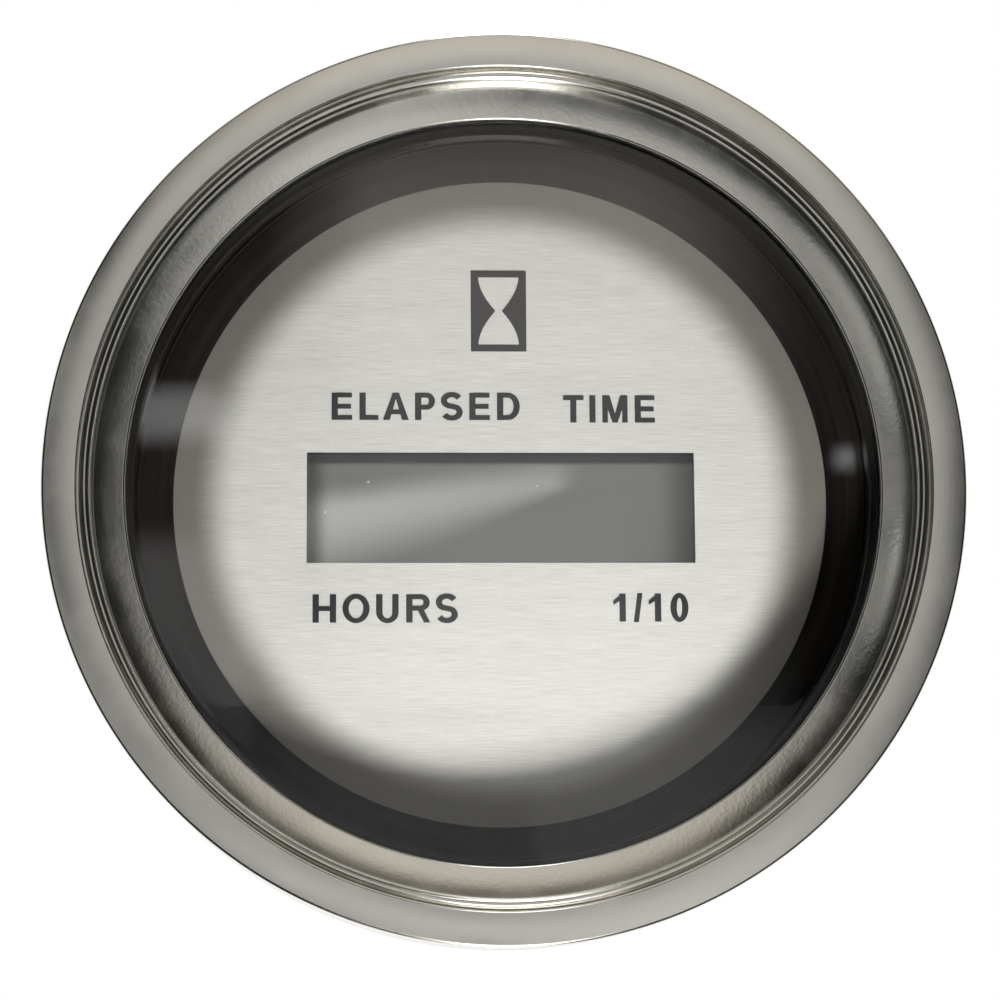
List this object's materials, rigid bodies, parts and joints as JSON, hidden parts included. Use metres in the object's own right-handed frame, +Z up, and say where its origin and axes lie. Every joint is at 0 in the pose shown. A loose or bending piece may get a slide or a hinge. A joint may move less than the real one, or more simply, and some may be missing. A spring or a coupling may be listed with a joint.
{
  "type": "hour meter",
  "caption": "Round panel-mount hour meter with a bright bezel, domed glass, brushed dial and display window, held from behind by a clamp bracket and thumb nuts.",
  "frame": {"origin": "on the meter's axis, in the plane where the rubber ring meets the front of the panel", "axes": "the face looks along -Y, +Y runs through the panel to the back, +Z is up on the dial, +X is right as the dial is read"},
  "size_m": [0.061, 0.069, 0.061],
  "materials": {
    "case_plastic": "black moulded plastic, fine matt grain",
    "rubber": "matt black rubber",
    "bezel_metal": "bright plated drawn metal",
    "lens_glass": "clear glass",
    "ring_plastic": "black satin plastic",
    "dial_metal": "horizontally brushed",
    "frame_plastic": "black moulded plastic",
    "lcd_glass": "grey blank display, satin",
    "diffuser_plastic": "white translucent",
    "contact_rubber": "layered contact rubber",
    "plated_steel": "zinc plated",
    "board_laminate": "green solder resist",
    "chip_resin": "black resin",
    "can_metal": "bright can",
    "capacitor_sleeve": "blue sleeve",
    "brass": "bare brass",
    "holder_plastic": "black moulded plastic",
    "bulb_glass": "clear bulb glass"
  },
  "bodies": {
    "meter": {"case": "case_plastic", "panel_gasket": "rubber", "bezel": "bezel_metal", "lens": "lens_glass", "lens_gasket": "rubber", "dial_ring": "ring_plastic", "dial_plate": "dial_metal", "display_frame": "frame_plastic", "lcd_cell": "lcd_glass", "lcd_diffuser": "diffuser_plastic", "zebra_strips": "contact_rubber", "frame_screws": "plated_steel", "circuit_board": "board_laminate", "controller_cap": "chip_resin", "memory_chip": "chip_resin", "quartz_crystal": "can_metal", "filter_capacitor": "capacitor_sleeve", "rectifier_diode": "chip_resin", "chip_resistors": "chip_resin", "supply_blade": "brass", "ground_blade": "brass", "mounting_studs": "plated_steel"},
    "clamp": {"clamp_bracket": "plated_steel", "spring_washers": "plated_steel"},
    "nut_left": {"thumb_nut_left": "brass"},
    "nut_right": {"thumb_nut_right": "brass"},
    "lamp": {"lamp_holder": "holder_plastic", "lamp_seal": "rubber", "lamp_bulb": "bulb_glass", "lamp_blade": "brass"}
  },
  "joints": [
    {"name": "clamp_slide", "type": "slide", "parent": "meter", "child": "clamp", "axis": [0, 1, 0], "range_m": [-0.003, 0.007]},
    {"name": "nut_left_turn", "type": "hinge", "parent": "clamp", "child": "nut_left", "pos_m": [-0.0145, 0.046, 0], "axis": [0, 1, 0], "range_deg": [-1362, 3176]},
    {"name": "nut_right_turn", "type": "hinge", "parent": "clamp", "child": "nut_right", "pos_m": [0.0145, 0.046, 0], "axis": [0, 1, 0], "range_deg": [-1362, 3176]},
    {"name": "lamp_turn", "type": "hinge", "parent": "meter", "child": "lamp", "pos_m": [0, 0.036, 0.0155], "axis": [0, 1, 0], "range_deg": [0, 45]}
  ],
  "couplings": [
    {"joint": "nut_left_turn", "follows": "clamp_slide", "rad_per_m": 7915.8},
    {"joint": "nut_right_turn", "follows": "clamp_slide", "rad_per_m": 7915.8}
  ]
}
